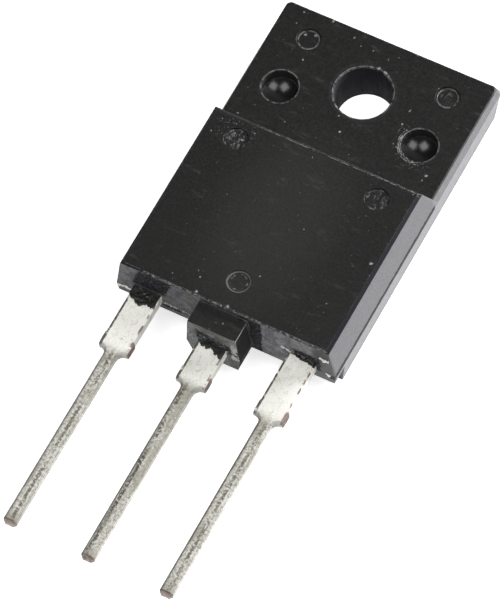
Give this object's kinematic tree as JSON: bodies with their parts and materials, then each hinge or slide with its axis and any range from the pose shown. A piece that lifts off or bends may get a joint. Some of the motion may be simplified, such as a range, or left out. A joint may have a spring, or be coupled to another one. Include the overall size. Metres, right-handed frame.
{
  "type": "power transistor",
  "caption": "Flat through-hole power transistor: black moulded body with a screw tab at one end and tinned copper leads in a row at the other.",
  "frame": {"origin": "centre of the screw hole on the flat heat-sink face", "axes": "+Z out of the front face along the screw hole, +Y from the leads towards the screw tab, +X to the right when the front is seen with the leads down"},
  "size_m": [0.0154, 0.0409, 0.0055],
  "materials": {
    "epoxy": "matte black moulded epoxy with fine dust",
    "tinned_copper": "dull bright tin over copper, copper bare at the cut tips",
    "silicon": "polished silicon",
    "solder": "dull soft solder",
    "bond_wire": "drawn aluminium wire"
  },
  "bodies": {
    "root": {"case": "epoxy", "base_lead": "tinned_copper", "collector_leadframe": "tinned_copper", "emitter_lead": "tinned_copper", "silicon_die": "silicon", "die_solder": "solder", "base_bond_wire": "bond_wire", "emitter_bond_wire_1": "bond_wire", "emitter_bond_wire_2": "bond_wire"}
  },
  "joints": []
}
